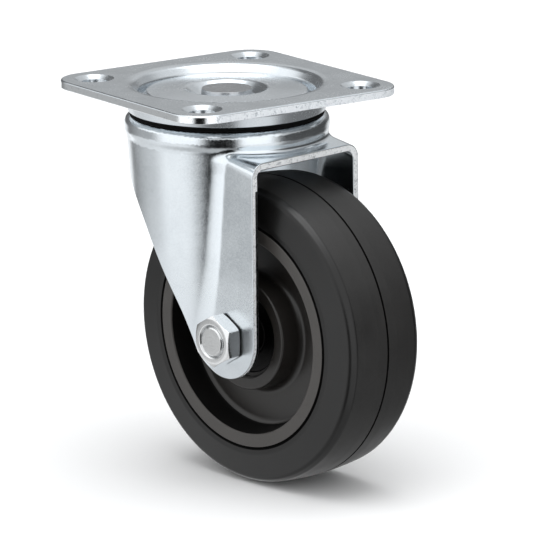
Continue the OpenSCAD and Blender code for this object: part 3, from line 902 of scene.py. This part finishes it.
# ---- axle bolt and nut ----------------------------------------------------
def hexagon(name, af, y0, y1, bore_r, mat, body, sign, replaces=(), extra=None):
    """Hexagon between y0 (on the leg) and y1 (outer face), its outer corners turned off."""
    nseg = 180
    corner = 0.5
    V, F, NN = [], [], []

    def hex_r(t):
        # rounded hexagon, a flat faces +X'
        a = (t + math.pi / 6) % (math.pi / 3) - math.pi / 6
        flat = af / 2
        r = flat / math.cos(a)
        # round off the corner
        rc = (flat - corner) / math.cos(math.pi / 6)
        lim = math.pi / 6 - math.atan2(corner * math.tan(math.pi / 6) , flat)
        if abs(a) > lim:
            b = math.pi / 6 - abs(a)
            d = rc
            r = d * math.cos(b) + math.sqrt(max(corner ** 2 - (d * math.sin(b)) ** 2, 0))
        return r

    h = y1 - y0
    ch_r = af / 2 - 0.25
    slope = math.tan(math.radians(30))

    def top(r):
        d = r - ch_r
        w = 0.25
        s = 0.5 * (d + math.sqrt(d * d + w * w))
        return h - slope * s

    def bot(r):
        d = r - (af / 2 + 0.1)
        w = 0.2
        s = 0.5 * (d + math.sqrt(d * d + w * w))
        return 0.4 + slope * s

    T = [2 * math.pi * j / nseg for j in range(nseg)]
    rings = []
    e = 0.18
    fr = [(bore_r + 0.7, None), (bore_r + 1.1, None)]
    radii_top = [bore_r + 0.62, bore_r + 0.9, bore_r + 1.5, ch_r - 0.5, ch_r - 0.2, ch_r, ch_r + 0.2, ch_r + 0.45]
    tt = np.array(T)
    R = np.array([hex_r(t) for t in T])

    def ring(r, y):
        return np.column_stack([r * np.cos(tt), y, r * np.sin(tt)])

    layers = []
    # bore and its countersink
    layers.append(ring(np.full(nseg, bore_r), np.full(nseg, 0.0)))
    layers.append(ring(np.full(nseg, bore_r), np.full(nseg, h - 0.75)))
    layers.append(ring(np.full(nseg, bore_r + 0.12), np.full(nseg, h - 0.6)))
    layers.append(ring(np.full(nseg, bore_r + 0.5), np.full(nseg, h - 0.12)))
    for r in radii_top:
        rr = np.minimum(np.full(nseg, r), R - e)
        layers.append(ring(rr, np.array([top(q) for q in rr])))
    rr = R - e
    for frac in (0.35, 0.7, 1.0):
        q = ch_r + 0.45 + (rr - ch_r - 0.45) * frac
        q = np.maximum(np.minimum(q, rr), np.minimum(ch_r + 0.45, rr))
        layers.append(ring(q, np.array([top(x) for x in q])))
    ytop = np.array([top(x) for x in rr])
    for al in (30, 60, 90):
        layers.append(ring(rr + e * math.sin(math.radians(al)), ytop - e * (1 - math.cos(math.radians(al)))))
    yb = np.array([bot(x) for x in rr])
    y_hi, y_lo = ytop - e, yb + e
    for frac in (0.33, 0.66):
        layers.append(ring(R, y_hi + (y_lo - y_hi) * frac))
    for al in (90, 60, 30, 0):
        layers.append(ring(rr + e * math.sin(math.radians(al)), yb + e * (1 - math.cos(math.radians(al)))))
    layers.append(ring(np.full(nseg, 6.95), np.full(nseg, 0.4)))
    layers.append(ring(np.full(nseg, 6.9), np.full(nseg, 0.35)))
    layers.append(ring(np.full(nseg, 6.9), np.full(nseg, 0.0)))
    V = np.vstack(layers)
    k = len(layers)
    F = []
    for i in range(k):
        a, b = i * nseg, ((i + 1) % k) * nseg
        for j in range(nseg):
            m = (j + 1) % nseg
            F.append((a + j, a + m, b + m, b + j))
    # area weighted normals of the finished faces
    N = np.zeros_like(V)
    for q in F:
        p = V[list(q)]
        g = np.cross(p[2] - p[0], p[3] - p[1])
        L = np.linalg.norm(g)
        for i in q:
            N[i] += g
    N /= np.maximum(np.linalg.norm(N, axis=1, keepdims=True), 1e-9)
    # outward sense from a point on the side wall
    probe = (k - 8) * nseg
    if N[probe] @ np.array([V[probe][0], 0, V[probe][2]]) < 0:
        N = -N
    # faces at the hexagon's foot take the near-black steel: painted shade in the gap against the leg
    index = [1 if V[list(q), 1].mean() < 0.72 and np.hypot(V[list(q), 0], V[list(q), 2]).mean() > 6.5 else 0 for q in F]
    V[:, 1] = sign * (V[:, 1] + y0)
    N[:, 1] *= sign
    V = V + np.array([TRAIL, 0, AXLE_Z])
    V, N = turn(V, N)
    return make(name, V, F, N, (mat, M_SHADE_STEEL), body, replaces, index)


hexagon("nut", 15.0, 24.0, 30.0, 5.05, M_NUT, "fork", -1.0, ["axle_nut"])
# bolt: end with a small thread groove near, hexagon head on the far side
turned("bolt_shank", [(0, -30.15), (4.3, -30.15, 0.25), (4.75, -29.75, 0.15), (4.6, -29.3, 0.1), (4.98, -28.9, 0.1), (4.98, 29.8, 0.1), (0, 30.0)],
       M_NUT, "fork", on_axle, seg_n=96, replaces=["axle_bolt"])
hexagon("bolt_head", 15.0, 24.0, 30.4, 3.9, M_NUT, "fork", 1.0, ())
turned("bolt_head_face", [(0, 29.9), (0, 28.5), (3.9, 28.5), (3.9, 29.9, 0.6)], M_NUT, "fork", on_axle, seg_n=64)

# flanged sleeves on the axle, near black: painted shade in the hub's bore
for name, s in (("near", -1.0), ("far", 1.0)):
    sec = [(5.05, 13.5), (7.0, 13.5, 0.2), (7.0, 18.3, 0.5), (7.6, 19.1, 0.4), (11.0, 19.3, 0.3), (11.3, 19.6, 0.2), (11.3, 21.5, 0.2), (5.05, 21.5)]
    turned(f"{name}_sleeve", [(c[0], c[1] * s, *c[2:]) for c in sec], M_SLEEVE_SHADE, "fork", on_axle, seg_n=96, replaces=[f"{name}_end_spacer"])

# ---- the CAD pieces that keep their shape ---------------------------------
# bearing rings and shields take the near-black steel: painted shade in the hub's mouth
keep = {
    "upper_race_balls": M_STEEL, "lower_race_balls": M_STEEL, "lower_race": M_STRIP,
    "centre_spacer": M_STRIP, "near_inner_ring": M_SHADE_STEEL, "far_inner_ring": M_SHADE_STEEL, "near_outer_ring": M_SHADE_STEEL,
    "far_outer_ring": M_SHADE_STEEL, "near_bearing_balls": M_STEEL, "far_bearing_balls": M_STEEL, "near_cage": M_STRIP,
    "far_cage": M_STRIP, "near_shields": M_SHADE_STEEL, "far_shields": M_SHADE_STEEL,
}
for name, mat in keep.items():
    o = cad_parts[name]
    o.data.materials.clear()
    o.data.materials.append(mat)
for name in ("lower_race", "centre_spacer", "near_shields", "far_shields", "near_outer_ring", "far_outer_ring", "near_inner_ring", "far_inner_ring"):
    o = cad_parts[name]
    w = o.modifiers.new("weld", "WELD")
    w.merge_threshold = 1e-6
    b = o.modifiers.new("soft_edges", "BEVEL")
    b.width = 0.00012
    b.segments = 2
    b.limit_method = "ANGLE"
    b.angle_limit = math.radians(40)
    b.harden_normals = True

# ---- floor ----------------------------------------------------------------
m, nt, b = new_mat("floor")
b.inputs["Base Color"].default_value = (0.92, 0.92, 0.92, 1)
b.inputs["Roughness"].default_value = 0.9
b.inputs["Specular IOR Level"].default_value = 0.1
me = bpy.data.meshes.new("floor")
S = 30.0
me.from_pydata([(-S, -S, FLOOR_Z * 0.001), (S, -S, FLOOR_Z * 0.001), (S, S, FLOOR_Z * 0.001), (-S, S, FLOOR_Z * 0.001)], [], [(0, 1, 2, 3)])
me.materials.append(m)
floor = bpy.data.objects.new("floor", me)
bpy.context.scene.collection.objects.link(floor)
floor.visible_glossy = False

# ---- camera: the photograph's viewing angle --------------------------------
AZ, EL, ROLL = math.radians(54.86), math.radians(13.77), math.radians(-0.53)
back = Vector((math.sin(AZ) * math.cos(EL), -math.cos(AZ) * math.cos(EL), math.sin(EL)))
right = Vector((math.cos(AZ), math.sin(AZ), 0))
up = back.cross(right)
T = Vector((0, 0, -60)) + right * 12.36 + up * (-1.83)
C = T + back * 1538.43
r2 = right * math.cos(ROLL) + up * math.sin(ROLL)
u2 = -right * math.sin(ROLL) + up * math.cos(ROLL)
cam_data = bpy.data.cameras.new("camera")
cam_data.sensor_width = 36.0
cam_data.lens = 4699.37 / 533 * 36
cam_data.clip_end = 100
cam_data.clip_start = 0.05
cam = bpy.data.objects.new("camera", cam_data)
cam.matrix_world = Matrix(((r2.x, u2.x, back.x, C.x * 0.001), (r2.y, u2.y, back.y, C.y * 0.001), (r2.z, u2.z, back.z, C.z * 0.001), (0, 0, 0, 1)))
bpy.context.scene.collection.objects.link(cam)
bpy.context.scene.camera = cam

# ---- studio: soft boxes as a smooth sky, by compass and height --------------
world = bpy.data.worlds.new("studio")
bpy.context.scene.world = world
world.use_nodes = True
nt = world.node_tree
for q in list(nt.nodes):
    nt.nodes.remove(q)
out = nt.nodes.new("ShaderNodeOutputWorld")
bg = nt.nodes.new("ShaderNodeBackground")
nt.links.new(bg.outputs[0], out.inputs[0])
direction = nt.nodes.new("ShaderNodeTexCoord").outputs["Generated"]


def math_node(op, a, b=None, clamp=False):
    q = nt.nodes.new("ShaderNodeMath")
    q.operation = op
    q.use_clamp = clamp
    for i, val in enumerate((a, b)):
        if val is None:
            continue
        if isinstance(val, (int, float)):
            q.inputs[i].default_value = val
        else:
            nt.links.new(val, q.inputs[i])
    return q.outputs[0]


def dot(vec):
    q = nt.nodes.new("ShaderNodeVectorMath")
    q.operation = "DOT_PRODUCT"
    nt.links.new(direction, q.inputs[0])
    q.inputs[1].default_value = vec
    return q.outputs["Value"]


front_h = (math.sin(AZ), -math.cos(AZ), 0)
compass = math_node("MULTIPLY", math_node("ARCTAN2", dot(tuple(right)), dot(front_h)), 180 / math.pi)
height = math_node("MULTIPLY", math_node("ARCSINE", dot((0, 0, 1))), 180 / math.pi)


def step(val, lo, hi):
    q = nt.nodes.new("ShaderNodeMapRange")
    q.interpolation_type = "SMOOTHSTEP"
    q.inputs["From Min"].default_value = lo
    q.inputs["From Max"].default_value = hi
    nt.links.new(val, q.inputs["Value"])
    return q.outputs["Result"]


def window(val, a, b, soft_a, soft_b=None):
    soft_b = soft_a if soft_b is None else soft_b
    return math_node("MULTIPLY", step(val, a - soft_a / 2, a + soft_a / 2), math_node("SUBTRACT", 1.0, step(val, b - soft_b / 2, b + soft_b / 2)))


def box(a0, a1, h0, h1, level, soft_a=10.0, soft_h=10.0):
    """A soft box between two compass angles and two heights. A pair gives each edge its own softness."""
    sa = soft_a if isinstance(soft_a, tuple) else (soft_a, soft_a)
    sh = soft_h if isinstance(soft_h, tuple) else (soft_h, soft_h)
    return math_node("MULTIPLY", math_node("MULTIPLY", window(compass, a0, a1, *sa), window(height, h0, h1, *sh)), level)


parts = [
    # upper ring, height 15 to 60
    box(-124, -27, 15, 62, 1.20, (16, 12), (6, 10)),
    box(-27, 13, 13, 62, 1.00, 12, (8, 10)),
    box(13, 66, 15, 62, 1.20, (12, 16), (6, 10)),
    box(66, 150, 15, 36, 0.45, (16, 20), (6, 10)),
    box(66, 150, 36, 62, 0.80, (16, 20), 10),
    box(150, 190, 12, 62, 0.62, (20, 10), (18, 10)),
    box(-210, -170, 12, 62, 0.62, 10, (18, 10)),
    box(-170, -124, 15, 46, 0.14, (10, 16), (6, 10)),
    box(-170, -124, 46, 62, 0.60, (10, 16), 10),
    # ring at eye height
    box(-128, -27, -17, 15, 0.45, (44, 17), (6, 6)),
    box(-84, -27, -17, 15, 0.78, (24, 17), (6, 6)),
    box(13, 57, -17, 15, 1.25, (12, 22), (6, 6)),
    box(66, 150, -17, 15, 0.07, (12, 20), (6, 6)),
    box(-168, -128, -17, 15, 0.16, (20, 30), (6, 6)),
    box(150, 190, -6, 12, 0.18, (20, 10), (6, 18)),
    box(-210, -170, -6, 12, 0.18, 10, (6, 18)),
    # below, the pale table
    box(-105, -36, -45, -17, 0.95, (60, 34), (20, 6)),
    box(13, 66, -45, -17, 1.00, (12, 22), (20, 6)),
    box(66, 150, -45, -17, 0.20, 20, (20, 6)),
    box(-155, -105, -45, -17, 0.75, (10, 60), (20, 6)),
    box(150, 190, -45, -6, 0.90, (20, 10), (20, 6)),
    box(-210, -150, -45, -6, 0.90, (10, 20), (20, 6)),
    box(-400, 400, -100, -45, 0.52, 10, (1, 20)),
]
total = parts[0]
for q in parts[1:]:
    total = math_node("ADD", total, q)
total = math_node("ADD", total, math_node("MULTIPLY", step(height, 56, 72), 3.5))
total = math_node("ADD", total, 0.006)
# seen straight, the surroundings are plain white
lp = nt.nodes.new("ShaderNodeLightPath")
mix = nt.nodes.new("ShaderNodeMix")
mix.data_type = "FLOAT"
nt.links.new(lp.outputs["Is Camera Ray"], mix.inputs["Factor"])
nt.links.new(total, mix.inputs[2])
mix.inputs[3].default_value = 1.0
nt.links.new(mix.outputs[0], bg.inputs["Strength"])
bg.inputs["Color"].default_value = (0.985, 0.993, 1.0, 1)

sc = bpy.context.scene
sc.view_settings.view_transform = "Standard"
sc.view_settings.look = "None"
sc.view_settings.exposure = 0.0
sc.view_settings.gamma = 1.0
sc.cycles.use_denoising = True
sc.cycles.max_bounces = 8
sc.cycles.glossy_bounces = 6
